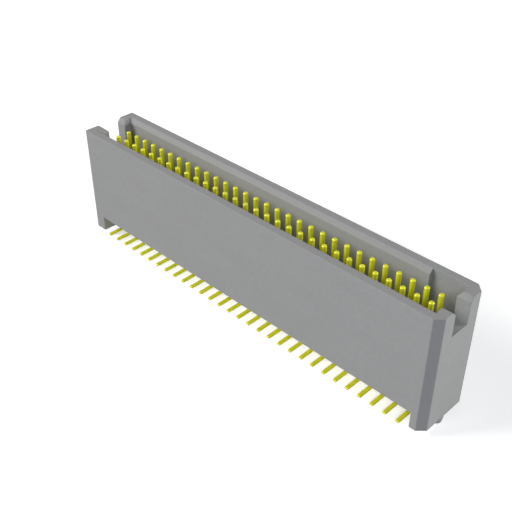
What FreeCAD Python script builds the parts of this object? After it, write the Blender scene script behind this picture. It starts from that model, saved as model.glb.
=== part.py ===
"""Shrouded two-row pin header for surface mounting, in millimetres.

The board's surface is Z = 0, X runs along the rows and Y across them. The origin is midway
between the two alignment posts. The tails lie on the board and the feet stand just above it.
"""
import FreeCAD
import Part
import math
import os

from FreeCAD import Vector

# Contacts and their grid
positions_per_row = 30
pitch = 1.27
row_spacing = 1.27
pin_diameter = 0.44
pin_flats = 12                 # flats that stand for the round, to keep sixty pins light
pin_tip_chamfer = 0.05
pin_tip_recess = 0.64          # from the rim down to the pin tips
tail_width = 0.34
tail_thickness = 0.20
tail_span = 6.0                # tip to tip across both rows
tail_bend_radius = 0.20        # inside of the bend
tail_bend_steps = 3            # straight steps in the bend, for the same reason
flat_depth_in_body = 0.80      # how far the flat tail reaches up into the body
contact_clearance = 0.01       # all round a contact in its hole

# Outside of the housing
end_allowance = 3.175          # body length beyond one pitch for each position
body_width = 5.715
body_height = 11.05            # from the feet to the rim
corner_chamfer = 0.635         # the two upright corners at the keyed end
foot_length = 1.27
foot_height = 1.50
foot_stand_off = 0.15          # the feet above the board, with the tails on it

# Cavity, keying pocket and end slots
cavity_width = 3.49
cavity_depth = 4.14
end_wall = 1.20
lead_in = 0.39                 # 45 degree chamfer round the mouth
pocket_length = 2.88
slot_width = 1.905
slot_depth = 2.44

# Alignment posts under the feet
post_diameter = 1.19
post_length = 0.81
post_taper_length = 0.475
post_taper = 0.09              # taken off the radius at the tip

# Worked out from the sizes above
body_length = positions_per_row * pitch + end_allowance
body_end = body_length / 2
body_side = body_width / 2
foot_bottom = foot_stand_off
body_bottom = foot_bottom + foot_height
rim = foot_bottom + body_height
cavity_floor = rim - cavity_depth
lead_in_bottom = rim - lead_in
cavity_end = body_end - end_wall
cavity_side = cavity_width / 2
pocket_side = cavity_side + lead_in
pocket_start = cavity_end - pocket_length
slot_side = slot_width / 2
slot_bottom = rim - slot_depth
pin_radius = pin_diameter / 2
pin_tip = rim - pin_tip_recess
shoulder = body_bottom + flat_depth_in_body
row = row_spacing / 2
tail_reach = tail_span / 2
post_x = body_end - foot_length / 2
post_tip = foot_bottom - post_length


def box(x_range, y_range, z_range):
    """A block between two limits on each axis."""
    size = [high - low for low, high in (x_range, y_range, z_range)]
    return Part.makeBox(*size, Vector(x_range[0], y_range[0], z_range[0]))


def prism(points, sweep):
    """A closed outline of straight edges, swept along a vector."""
    outline = Part.makePolygon([Vector(*point) for point in points + points[:1]])
    return Part.Face(outline).extrude(Vector(*sweep))


def turned(profile):
    """A closed (radius, height) profile turned about the Z axis."""
    points = [Vector(radius, 0, height) for radius, height in profile]
    face = Part.Face(Part.makePolygon(points + points[:1]))
    return face.revolve(Vector(0, 0, 0), Vector(0, 0, 1), 360)


def body_block():
    """The outside: one plan outline, chamfered at the keyed end, open between the feet."""
    plan = [
        (-body_end, -body_side, foot_bottom),
        (body_end - corner_chamfer, -body_side, foot_bottom),
        (body_end, -body_side + corner_chamfer, foot_bottom),
        (body_end, body_side - corner_chamfer, foot_bottom),
        (body_end - corner_chamfer, body_side, foot_bottom),
        (-body_end, body_side, foot_bottom),
    ]
    block = prism(plan, (0, 0, body_height))
    foot_inside = body_end - foot_length
    between_feet = box(
        (-foot_inside, foot_inside), (-body_side, body_side), (foot_bottom, body_bottom)
    )
    return block.cut(between_feet)


def mouth_chamfer():
    """The lead-in round the cavity: a flared mouth, mitred at its four corners."""
    rings = []
    for spread, height in ((0, lead_in_bottom), (lead_in, rim)):
        x = cavity_end + spread
        y = cavity_side + spread
        corners = [(-x, -y), (x, -y), (x, y), (-x, y), (-x, -y)]
        rings.append(Part.makePolygon([Vector(cx, cy, height) for cx, cy in corners]))
    return Part.makeLoft(rings, True, True)


def keying_pocket():
    """The wider end of the cavity, with its end wall chamfered over the full width."""
    outline = [
        (pocket_start, -pocket_side, cavity_floor),
        (cavity_end, -pocket_side, cavity_floor),
        (cavity_end, -pocket_side, lead_in_bottom),
        (cavity_end + lead_in, -pocket_side, rim),
        (pocket_start, -pocket_side, rim),
    ]
    return prism(outline, (0, 2 * pocket_side, 0))


def end_slots():
    """One long cut for the slots in both end walls, flared at the rim."""
    outline = [
        (-body_end, -slot_side, slot_bottom),
        (-body_end, slot_side, slot_bottom),
        (-body_end, slot_side, lead_in_bottom),
        (-body_end, slot_side + lead_in, rim),
        (-body_end, -slot_side - lead_in, rim),
        (-body_end, -slot_side, lead_in_bottom),
    ]
    return prism(outline, (body_length, 0, 0))


def many_sided(profile):
    """A rod of (radius, height) rings, each with the pin's number of flats."""
    rings = []
    for radius, height in profile:
        corners = []
        for corner in range(pin_flats + 1):
            angle = 2 * math.pi * (corner % pin_flats) / pin_flats
            corners.append(Vector(radius * math.cos(angle), radius * math.sin(angle), height))
        rings.append(Part.makePolygon(corners))
    return Part.makeLoft(rings, True, True)


def contact_hole(x, y):
    """A round hole from the cavity floor, stepped to a flat one for the tail."""
    radius = pin_radius + contact_clearance
    half_width = tail_width / 2 + contact_clearance
    half_thickness = tail_thickness / 2 + contact_clearance
    round_part = many_sided([(radius, shoulder), (radius, cavity_floor)])
    round_part = round_part.translated(Vector(x, y, 0))
    flat_part = box(
        (x - half_width, x + half_width),
        (y - half_thickness, y + half_thickness),
        (body_bottom, shoulder),
    )
    return [round_part, flat_part]


def alignment_post(x):
    """A round peg under a foot, tapered towards its tip."""
    radius = post_diameter / 2
    straight_end = post_tip + post_taper_length
    peg = turned([
        (0, foot_bottom),
        (radius, foot_bottom),
        (radius, straight_end),
        (radius - post_taper, post_tip),
        (0, post_tip),
    ])
    return peg.translated(Vector(x, 0, 0))


def housing():
    """The moulded body with its cavity, slots, contact holes and posts."""
    cavity = box((-cavity_end, cavity_end), (-cavity_side, cavity_side), (cavity_floor, rim))
    cuts = [cavity, mouth_chamfer(), keying_pocket(), end_slots()]
    for x in contact_places():
        cuts += contact_hole(x, -row) + contact_hole(x, row)
    body = body_block().cut(cuts)
    return body.fuse([alignment_post(-post_x), alignment_post(post_x)]).removeSplitter()


def contact_places():
    """The X of each position, from the plain end to the keyed one."""
    first = -(positions_per_row - 1) / 2 * pitch
    return [first + number * pitch for number in range(positions_per_row)]


def round_pin():
    """The mating pin, from its shoulder to its chamfered tip."""
    return many_sided([
        (pin_radius, shoulder),
        (pin_radius, pin_tip - pin_tip_chamfer),
        (pin_radius - pin_tip_chamfer, pin_tip),
    ])


def bend(radius):
    """One side of the tail's quarter-turn, from the drop to the run along the board."""
    centre_y = tail_thickness / 2 + tail_bend_radius
    centre_z = tail_thickness + tail_bend_radius
    points = []
    for step in range(tail_bend_steps + 1):
        angle = math.pi * (1 + step / tail_bend_steps / 2)
        y = centre_y + radius * math.cos(angle)
        z = centre_z + radius * math.sin(angle)
        points.append((-tail_width / 2, y, z))
    return points


def flat_tail():
    """The tail: a flat strip that drops from the shoulder and bends out along the board."""
    left = -tail_width / 2
    tip = tail_reach - row
    inside = [(left, tail_thickness / 2, shoulder)] + bend(tail_bend_radius)
    end = [(left, tip, tail_thickness), (left, tip, 0)]
    outside = bend(tail_bend_radius + tail_thickness)[::-1]
    outside.append((left, -tail_thickness / 2, shoulder))
    return prism(inside + end + outside, (tail_width, 0, 0))


def contact():
    """One contact of the back row, standing at X = 0."""
    piece = round_pin().fuse(flat_tail()).removeSplitter()
    return piece.translated(Vector(0, row, 0))


def contact_pair(back_contact, x):
    """Both contacts of one position: the front one is the back one turned half round."""
    back = back_contact.translated(Vector(x, 0, 0))
    front = back_contact.rotated(Vector(0, 0, 0), Vector(0, 0, 1), 180)
    return Part.makeCompound([front.translated(Vector(x, 0, 0)), back])


os.makedirs("parts", exist_ok=True)
housing().exportStep("parts/housing.step")
single_contact = contact()
for number, place in enumerate(contact_places(), start=1):
    contact_pair(single_contact, place).exportStep(f"parts/contact_pair_{number:02d}.step")
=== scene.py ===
"""The finished look of the shrouded pin header, in metres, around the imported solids.

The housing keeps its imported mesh, with its edges rounded by modifiers. Each pair of contacts is
made again with true rounds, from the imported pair's own box. The frame is the part's own: X runs
along the rows, -Y is the front and Z = 0 is the board's surface.
"""

import math

import bpy
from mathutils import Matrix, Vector


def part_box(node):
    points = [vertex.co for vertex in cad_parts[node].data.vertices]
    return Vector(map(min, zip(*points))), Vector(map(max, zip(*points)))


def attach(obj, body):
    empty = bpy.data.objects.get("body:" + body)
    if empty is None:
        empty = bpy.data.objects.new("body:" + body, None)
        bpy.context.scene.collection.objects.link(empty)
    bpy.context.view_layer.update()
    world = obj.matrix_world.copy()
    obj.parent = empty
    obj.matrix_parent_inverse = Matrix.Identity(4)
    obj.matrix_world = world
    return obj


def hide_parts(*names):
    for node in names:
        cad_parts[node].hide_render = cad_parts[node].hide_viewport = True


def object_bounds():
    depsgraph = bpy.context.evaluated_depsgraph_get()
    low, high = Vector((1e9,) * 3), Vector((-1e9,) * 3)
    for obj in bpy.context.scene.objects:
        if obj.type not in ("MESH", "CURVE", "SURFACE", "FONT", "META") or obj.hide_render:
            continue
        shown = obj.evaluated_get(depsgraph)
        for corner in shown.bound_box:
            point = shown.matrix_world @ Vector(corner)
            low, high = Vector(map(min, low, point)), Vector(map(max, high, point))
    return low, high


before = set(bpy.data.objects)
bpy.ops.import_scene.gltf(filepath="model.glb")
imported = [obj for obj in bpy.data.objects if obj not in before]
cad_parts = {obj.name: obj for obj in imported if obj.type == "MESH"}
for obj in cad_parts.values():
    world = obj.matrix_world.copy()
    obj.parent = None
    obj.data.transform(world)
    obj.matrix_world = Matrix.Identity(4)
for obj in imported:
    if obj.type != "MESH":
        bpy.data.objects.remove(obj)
cad_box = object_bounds()

MM = 0.001

# Camera: an isometric direction, aimed at the middle of the part's height
CAMERA_AZIMUTH = math.radians(45)
CAMERA_ELEVATION = math.atan(math.sqrt(0.5))
CAMERA_TARGET = Vector((0, 0, 5.073 * MM))
CAMERA_DISTANCE = 71.872 * MM
CAMERA_LENS = 56.72
CLIP_START = 1 * MM
CLIP_END = 10

# Contacts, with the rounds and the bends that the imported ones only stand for
TAIL_WIDTH = 0.34 * MM
TAIL_THICKNESS = 0.20 * MM
TAIL_BEND_RADIUS = 0.20 * MM
TAIL_BEND_STEPS = 8
TAIL_ROUNDING = 0.03 * MM
TAIL_END_ROUNDING = 0.02 * MM
TIP_CHAMFER = 0.05 * MM
TIP_CHAMFER_ANGLE = math.radians(45)
TIP_ROUNDING = 0.04 * MM
SHOULDER_HEIGHT = 2.45 * MM
POINTS_PER_QUARTER = 8
ROUNDING_STEPS = 3

# Softened outer edges of the moulding, and the part of that under the feet and on the posts
HOUSING_EDGE = 0.06 * MM
LOW_EDGE_SHARE = 0.5
LOW_EDGE_TOP = 0.2 * MM
SHARP_ANGLE = math.radians(38)
WELD_DISTANCE = 0.0001 * MM
FLAT_ANGLE = math.radians(0.5)

# The contact holes lie within this half length and half width, and below this height
HOLE_FIELD = (19.0 * MM, 0.9 * MM)
HOLE_TOP = 7.1 * MM

# Plastic: colour (linear), roughness at the grain's low and high spots, gloss and relief
HOUSING_GREY = (0.33, 0.33, 0.33)
PLASTIC_ROUGHNESS = (0.48, 0.76)
PLASTIC_GLOSS = 0.25
PLASTIC_RELIEF = 0.02 * MM
PLASTIC_RELIEF_STRENGTH = 0.6

# Metal: colour (linear), roughness across the clouds, metallic share and relief
CONTACT_YELLOW = (0.90, 0.90, 0.034)
METAL_ROUGHNESS = (0.25, 0.41)
METALLIC_SHARE = 0.28
METAL_RELIEF = 0.002 * MM
METAL_RELIEF_STRENGTH = 0.15

# Noises: the size of the features, and the share by which they lighten and darken the colour
GRAIN, GRAIN_SHARE = 0.06 * MM, 0.09
FIBRE, FIBRE_SHARE = 0.035 * MM, 0.07
SPECKLE, SPECKLE_SHARE = 0.3 * MM, 0.04
MOTTLE, MOTTLE_SHARE = 2.5 * MM, 0.04
STREAK, STREAK_SHARE = 0.03 * MM, 0.08
CLOUD, CLOUD_SHARE = 0.5 * MM, 0.05

# How far fibres, mottle and streaks are drawn out along X, Y and Z
FIBRE_STRETCH = (4, 1, 1.5)
MOTTLE_STRETCH = (3, 1, 1)
STREAK_STRETCH = (1, 1, 20)

# Floor: half its width in metres, its tone for the camera and for bounced light, and its glow
FLOOR_REACH = 0.2
FLOOR_SEEN = 0.90
FLOOR_BOUNCE = 0.60
FLOOR_LIFT = 0.46
FLOOR_ROUGHNESS = 0.9

# Lamps: azimuth and elevation in degrees, size in metres, power in watts and colour
LAMP_DISTANCE = 0.6
LAMPS = {
    "front_left": (-45, 30, 0.29, 3.15, (1.0, 0.98, 0.945)),
    "back_right": (135, 12, 0.29, 3.3, (1.0, 0.985, 0.95)),
    "cool_fill": (45, 30, 0.29, 1.2, (0.78, 0.86, 1.0)),
}

# Strength of the sky as a light and as what a gloss reflects
SKY = 0.06
SKY_IN_GLOSS = 0.65


def direction(azimuth, elevation):
    """A unit vector towards that azimuth (0 is the front, -Y) and elevation."""
    return Vector((
        math.sin(azimuth) * math.cos(elevation),
        -math.cos(azimuth) * math.cos(elevation),
        math.sin(elevation),
    ))


def aim(thing, place, target):
    """Puts a camera or lamp at a place and points it at a target."""
    thing.location = place
    thing.rotation_euler = (target - place).to_track_quat("-Z", "Y").to_euler()


def add_object(name, data):
    """A new object in the scene, around its mesh, lamp or camera."""
    thing = bpy.data.objects.new(name, data)
    bpy.context.collection.objects.link(thing)
    return thing


class Shader:
    """A small helper that adds and joins the nodes of one material."""

    def __init__(self, name):
        self.material = bpy.data.materials.new(name)
        self.material.use_nodes = True
        self.nodes = self.material.node_tree.nodes
        self.surface = self.nodes["Principled BSDF"]

    def add(self, kind, **values):
        """A new node of that kind, with its settings."""
        node = self.nodes.new(kind)
        for name, value in values.items():
            setattr(node, name, value)
        return node

    def join(self, output, target):
        """A link from one node's output to another's input."""
        self.material.node_tree.links.new(output, target)

    def place(self):
        """Object coordinates, which are the part's own metres."""
        return self.add("ShaderNodeTexCoord").outputs["Object"]

    def noise(self, size, detail=2.0, stretch=(1, 1, 1)):
        """Noise whose features are about that size; a stretch over 1 draws it out."""
        mapping = self.add("ShaderNodeMapping")
        mapping.inputs["Scale"].default_value = [1 / share for share in stretch]
        self.join(self.place(), mapping.inputs["Vector"])
        noise = self.add("ShaderNodeTexNoise")
        noise.inputs["Scale"].default_value = 1 / size
        noise.inputs["Detail"].default_value = detail
        self.join(mapping.outputs["Vector"], noise.inputs["Vector"])
        return noise.outputs["Fac"]

    def ramp(self, value, low, high):
        """The value, mapped from 0..1 to low..high."""
        node = self.add("ShaderNodeMapRange")
        node.inputs["To Min"].default_value = low
        node.inputs["To Max"].default_value = high
        self.join(value, node.inputs["Value"])
        return node.outputs["Result"]

    def spread(self, value, share):
        """The value, mapped from 0..1 to a factor that lies up to that share round 1."""
        return self.ramp(value, 1 - share, 1 + share)

    def product(self, first, second):
        """One value times another."""
        node = self.add("ShaderNodeMath", operation="MULTIPLY")
        self.join(first, node.inputs[0])
        self.join(second, node.inputs[1])
        return node.outputs["Value"]

    def tint(self, colour, factor):
        """The colour, made lighter or darker by a factor."""
        node = self.add("ShaderNodeVectorMath", operation="SCALE")
        node.inputs[0].default_value = colour
        self.join(factor, node.inputs["Scale"])
        return node.outputs["Vector"]

    def bump(self, height, strength, depth):
        """A fine relief on the surface, no deeper than that."""
        node = self.add("ShaderNodeBump")
        node.inputs["Strength"].default_value = strength
        node.inputs["Distance"].default_value = depth
        self.join(height, node.inputs["Height"])
        self.join(node.outputs["Normal"], self.surface.inputs["Normal"])


def moulded_plastic():
    """Grey filled plastic: a fine grain with short fibres, a speckle and a mottle of the flow."""
    shader = Shader("moulded_plastic")
    grain = shader.noise(GRAIN, detail=3.0)
    fibres = shader.noise(FIBRE, detail=1.0, stretch=FIBRE_STRETCH)
    speckle = shader.noise(SPECKLE)
    mottle = shader.noise(MOTTLE, stretch=MOTTLE_STRETCH)
    fine = shader.product(
        shader.spread(grain, GRAIN_SHARE), shader.spread(fibres, FIBRE_SHARE)
    )
    broad = shader.product(
        shader.spread(speckle, SPECKLE_SHARE), shader.spread(mottle, MOTTLE_SHARE)
    )
    tone = shader.product(fine, broad)
    shader.join(shader.tint(HOUSING_GREY, tone), shader.surface.inputs["Base Color"])
    shader.join(shader.ramp(grain, *PLASTIC_ROUGHNESS), shader.surface.inputs["Roughness"])
    shader.surface.inputs["Specular IOR Level"].default_value = PLASTIC_GLOSS
    shader.bump(fine, PLASTIC_RELIEF_STRENGTH, PLASTIC_RELIEF)
    return shader.material


def plated_metal():
    """Yellow plating over drawn wire: streaks along the pin and a soft gloss."""
    shader = Shader("plated_metal")
    streaks = shader.noise(STREAK, stretch=STREAK_STRETCH)
    cloud = shader.noise(CLOUD)
    tone = shader.product(
        shader.spread(streaks, STREAK_SHARE), shader.spread(cloud, CLOUD_SHARE)
    )
    shader.join(shader.tint(CONTACT_YELLOW, tone), shader.surface.inputs["Base Color"])
    shader.join(shader.ramp(cloud, *METAL_ROUGHNESS), shader.surface.inputs["Roughness"])
    shader.surface.inputs["Metallic"].default_value = METALLIC_SHARE
    shader.bump(streaks, METAL_RELIEF_STRENGTH, METAL_RELIEF)
    return shader.material


def floor_material():
    """A floor that the camera sees white, with the part's shadow, and sees through from below."""
    shader = Shader("floor_white")
    shader.surface.inputs["Roughness"].default_value = FLOOR_ROUGHNESS
    shader.surface.inputs["Specular IOR Level"].default_value = 0.0
    seen = shader.add("ShaderNodeLightPath").outputs["Is Camera Ray"]
    tone = shader.ramp(seen, FLOOR_BOUNCE, FLOOR_SEEN)
    shader.join(tone, shader.surface.inputs["Base Color"])
    shader.surface.inputs["Emission Color"].default_value = (1, 1, 1, 1)
    lift = shader.ramp(seen, 0.0, FLOOR_LIFT)
    shader.join(lift, shader.surface.inputs["Emission Strength"])
    sides = shader.add("ShaderNodeMixShader")
    shader.join(shader.add("ShaderNodeNewGeometry").outputs["Backfacing"], sides.inputs[0])
    shader.join(shader.surface.outputs["BSDF"], sides.inputs[1])
    shader.join(shader.add("ShaderNodeBsdfTransparent").outputs["BSDF"], sides.inputs[2])
    shader.join(sides.outputs["Shader"], shader.nodes["Material Output"].inputs["Surface"])
    return shader.material


class Geometry:
    """A small helper that adds and joins the nodes of one geometry modifier."""

    def __init__(self, name):
        self.group = bpy.data.node_groups.new(name, "GeometryNodeTree")
        for side in ("INPUT", "OUTPUT"):
            self.group.interface.new_socket(
                "Geometry", in_out=side, socket_type="NodeSocketGeometry"
            )
        self.start = self.group.nodes.new("NodeGroupInput").outputs[0]
        self.end = self.group.nodes.new("NodeGroupOutput").inputs[0]

    def add(self, kind, **values):
        """A new geometry node of that kind, with its settings."""
        node = self.group.nodes.new("GeometryNode" + kind)
        for name, value in values.items():
            setattr(node, name, value)
        return node

    def math(self, operation, first, second=0):
        """One step of arithmetic on two sockets or numbers."""
        node = self.group.nodes.new("ShaderNodeMath")
        node.operation = operation
        for target, value in zip(node.inputs, (first, second)):
            if isinstance(value, (int, float)):
                target.default_value = value
            else:
                self.join(value, target)
        return node.outputs["Value"]

    def join(self, output, target):
        """A link from one node's output to another's input."""
        self.group.links.new(output, target)


def smooth_by_angle():
    """Smooths the shading, except across edges sharper than the limit."""
    nodes = Geometry("smooth_by_angle")
    faces = nodes.add("SetShadeSmooth", domain="FACE")
    edges = nodes.add("SetShadeSmooth", domain="EDGE")
    angle = nodes.add("InputMeshEdgeAngle").outputs["Unsigned Angle"]
    nodes.join(nodes.math("LESS_THAN", angle, SHARP_ANGLE), edges.inputs["Shade Smooth"])
    nodes.join(nodes.start, faces.inputs["Geometry"])
    nodes.join(faces.outputs["Geometry"], edges.inputs["Geometry"])
    nodes.join(edges.outputs["Geometry"], nodes.end)
    return nodes.group


def edges_to_round():
    """Weighs the housing's sharp outer edges for rounding, except round the contact holes."""
    nodes = Geometry("edges_to_round")
    angle = nodes.add("InputMeshEdgeAngle").outputs["Signed Angle"]
    weight = nodes.math("GREATER_THAN", angle, SHARP_ANGLE)
    place = nodes.group.nodes.new("ShaderNodeSeparateXYZ")
    nodes.join(nodes.add("InputPosition").outputs["Position"], place.inputs["Vector"])
    outside = nodes.math("GREATER_THAN", place.outputs["Z"], HOLE_TOP)
    for axis, limit in zip(("X", "Y"), HOLE_FIELD):
        distance = nodes.math("ABSOLUTE", place.outputs[axis])
        outside = nodes.math("MAXIMUM", nodes.math("GREATER_THAN", distance, limit), outside)
    high = nodes.math("GREATER_THAN", place.outputs["Z"], LOW_EDGE_TOP)
    share = nodes.math("MAXIMUM", high, LOW_EDGE_SHARE)
    weight = nodes.math("MULTIPLY", nodes.math("MULTIPLY", weight, outside), share)
    store = nodes.add("StoreNamedAttribute", domain="EDGE", data_type="FLOAT")
    store.inputs["Name"].default_value = "bevel_weight_edge"
    nodes.join(weight, store.inputs["Value"])
    nodes.join(nodes.start, store.inputs["Geometry"])
    nodes.join(store.outputs["Geometry"], nodes.end)
    return nodes.group


def soften_housing(housing):
    """Rounds the housing's edges by modifiers alone."""
    weld = housing.modifiers.new("weld", "WELD")
    weld.merge_threshold = WELD_DISTANCE
    flats = housing.modifiers.new("one_face_per_flat", "DECIMATE")
    flats.decimate_type = "DISSOLVE"
    flats.angle_limit = FLAT_ANGLE
    marks = housing.modifiers.new("edges_to_round", "NODES")
    marks.node_group = edges_to_round()
    bevel = housing.modifiers.new("edges", "BEVEL")
    bevel.width = HOUSING_EDGE
    bevel.segments = ROUNDING_STEPS
    bevel.limit_method = "WEIGHT"


def shade(piece, smooth):
    """Smooth shading on the rounds, while the flats stay flat."""
    shading = piece.modifiers.new("shading", "NODES")
    shading.node_group = smooth
    flats = piece.modifiers.new("flat_shading", "WEIGHTED_NORMAL")
    flats.keep_sharp = True


def dress(piece, material):
    """Gives a piece its one material."""
    piece.data.materials.clear()
    piece.data.materials.append(material)


def circle(radius):
    """One ring's points on a circle, the first of them half a step into the first quarter."""
    count = 4 * POINTS_PER_QUARTER
    angles = [2 * math.pi * (number + 0.5) / count for number in range(count)]
    return [(radius * math.cos(angle), radius * math.sin(angle)) for angle in angles]


def flat_section(inset):
    """One ring's points on the tail's section: a rectangle with rounded corners."""
    half_x = TAIL_WIDTH / 2 - TAIL_ROUNDING
    half_y = TAIL_THICKNESS / 2 - TAIL_ROUNDING
    radius = TAIL_ROUNDING - inset
    points = []
    for number in range(4 * POINTS_PER_QUARTER):
        quarter, step = divmod(number, POINTS_PER_QUARTER)
        angle = math.pi / 2 * (quarter + step / (POINTS_PER_QUARTER - 1))
        x_side = 1 if quarter in (0, 3) else -1
        y_side = 1 if quarter in (0, 1) else -1
        x = x_side * half_x + radius * math.cos(angle)
        y = y_side * half_y + radius * math.sin(angle)
        points.append((x, y))
    return points


def pin_profile(radius, tip):
    """The pin's tip as (radius, height): a flat, a chamfer and the shaft, softly joined."""
    tangent = TIP_ROUNDING * math.tan(TIP_CHAMFER_ANGLE / 2)
    upper = (radius - TIP_CHAMFER - tangent, tip - TIP_ROUNDING)
    lower = (radius - TIP_ROUNDING, tip - TIP_CHAMFER - tangent)
    points = []
    for centre, start in ((upper, math.pi / 2), (lower, math.pi / 4)):
        for step in range(ROUNDING_STEPS + 1):
            angle = start - TIP_CHAMFER_ANGLE * step / ROUNDING_STEPS
            points.append((
                centre[0] + TIP_ROUNDING * math.cos(angle),
                centre[1] + TIP_ROUNDING * math.sin(angle),
            ))
    return points


def bent_section(turn):
    """The ring where the tail has turned by that angle, from straight down towards +Y."""
    centre_y = TAIL_THICKNESS / 2 + TAIL_BEND_RADIUS
    centre_z = TAIL_THICKNESS + TAIL_BEND_RADIUS
    ring = []
    for x, y in flat_section(0):
        away = centre_y - y
        ring.append((x, centre_y - away * math.cos(turn), centre_z - away * math.sin(turn)))
    return ring


def contact_rings(radius, tip, reach):
    """The rings of a back contact at X = 0 and Y = 0, from its pin tip to its tail tip."""
    profile = pin_profile(radius, tip) + [(radius, SHOULDER_HEIGHT)]
    rings = [[(x, y, height) for x, y in circle(size)] for size, height in profile]
    rings.append([(x, y, SHOULDER_HEIGHT) for x, y in flat_section(0)])
    for step in range(TAIL_BEND_STEPS + 1):
        rings.append(bent_section(math.pi / 2 * step / TAIL_BEND_STEPS))
    for step in range(ROUNDING_STEPS + 1):
        angle = math.pi / 2 * step / ROUNDING_STEPS
        inset = TAIL_END_ROUNDING * (1 - math.cos(angle))
        end = reach - TAIL_END_ROUNDING * (1 - math.sin(angle))
        rings.append([(x, end, TAIL_THICKNESS / 2 + y) for x, y in flat_section(inset)])
    return rings


def skin(first, levels, count):
    """The faces of one contact whose points start at that number: two ends and the sides."""
    faces = [[first + number for number in range(count)]]
    for level in range(levels - 1):
        upper = first + level * count
        lower = upper + count
        for number in range(count):
            after = (number + 1) % count
            faces.append([upper + after, upper + number, lower + number, lower + after])
    last = first + (levels - 1) * count
    faces.append([last + number for number in reversed(range(count))])
    return faces


def contact_mesh(name, rings, x, row):
    """Both contacts of one position: the front one is the back one turned half round."""
    points = []
    faces = []
    for side in (1, -1):
        faces += skin(len(points), len(rings), len(rings[0]))
        for ring in rings:
            points += [(x + side * px, side * (row + py), pz) for px, py, pz in ring]
    mesh = bpy.data.meshes.new(name)
    mesh.from_pydata(points, [], faces)
    return mesh


def round_contacts(node, rings, row):
    """The contacts of one position with true rounds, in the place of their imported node."""
    low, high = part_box(node)
    name = node.replace("contact_pair", "round_contacts")
    piece = add_object(name, contact_mesh(name, rings, (low.x + high.x) / 2, row))
    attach(piece, "root")
    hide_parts(node)
    return piece


def floor():
    """A square floor under the post tips."""
    low = cad_box[0].z
    mesh = bpy.data.meshes.new("floor")
    signs = ((-1, -1), (1, -1), (1, 1), (-1, 1))
    corners = [(x * FLOOR_REACH, y * FLOOR_REACH, low) for x, y in signs]
    mesh.from_pydata(corners, [], [(0, 1, 2, 3)])
    plane = add_object("floor", mesh)
    plane.data.materials.append(floor_material())


def softbox(name, azimuth, elevation, size, power, colour):
    """A square area lamp aimed at the middle of the part."""
    lamp = bpy.data.lights.new(name, "AREA")
    lamp.shape = "SQUARE"
    lamp.size = size
    lamp.energy = power
    lamp.color = colour
    away = direction(math.radians(azimuth), math.radians(elevation)) * LAMP_DISTANCE
    aim(add_object(name, lamp), CAMERA_TARGET + away, CAMERA_TARGET)


def sky():
    """An even white sky: dim as a light, paler in a gloss and white where the camera sees it."""
    world = bpy.data.worlds.new("studio")
    bpy.context.scene.world = world
    world.use_nodes = True
    nodes = world.node_tree.nodes
    links = world.node_tree.links
    background = nodes["Background"]
    background.inputs["Color"].default_value = (1, 1, 1, 1)
    path = nodes.new("ShaderNodeLightPath")
    gloss = nodes.new("ShaderNodeMapRange")
    gloss.inputs["To Min"].default_value = SKY
    gloss.inputs["To Max"].default_value = SKY_IN_GLOSS
    level = nodes.new("ShaderNodeMath")
    level.operation = "MAXIMUM"
    links.new(path.outputs["Is Glossy Ray"], gloss.inputs["Value"])
    links.new(gloss.outputs["Result"], level.inputs[0])
    links.new(path.outputs["Is Camera Ray"], level.inputs[1])
    links.new(level.outputs["Value"], background.inputs["Strength"])


def camera():
    """The photograph's view."""
    data = bpy.data.cameras.new("camera")
    data.lens = CAMERA_LENS
    data.clip_start = CLIP_START
    data.clip_end = CLIP_END
    thing = add_object("camera", data)
    back = direction(CAMERA_AZIMUTH, CAMERA_ELEVATION) * CAMERA_DISTANCE
    aim(thing, CAMERA_TARGET + back, CAMERA_TARGET)
    bpy.context.scene.camera = thing


def main():
    """Dresses the housing, makes the contacts again, and sets the studio up."""
    bpy.context.scene.view_settings.view_transform = "Standard"
    plastic = moulded_plastic()
    metal = plated_metal()
    smooth = smooth_by_angle()
    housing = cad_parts["housing"]
    dress(housing, plastic)
    soften_housing(housing)
    shade(housing, smooth)
    pairs = sorted(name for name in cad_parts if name.startswith("contact_pair"))
    low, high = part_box(pairs[0])
    radius = (high.x - low.x) / 2
    row = (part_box(pairs[1])[0].x - low.x) / 2
    rings = contact_rings(radius, high.z, high.y - row)
    for name in pairs:
        dress(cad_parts[name], metal)
        piece = round_contacts(name, rings, row)
        dress(piece, metal)
        shade(piece, smooth)
    floor()
    for name, lamp in LAMPS.items():
        softbox(name, *lamp)
    sky()
    camera()


main()
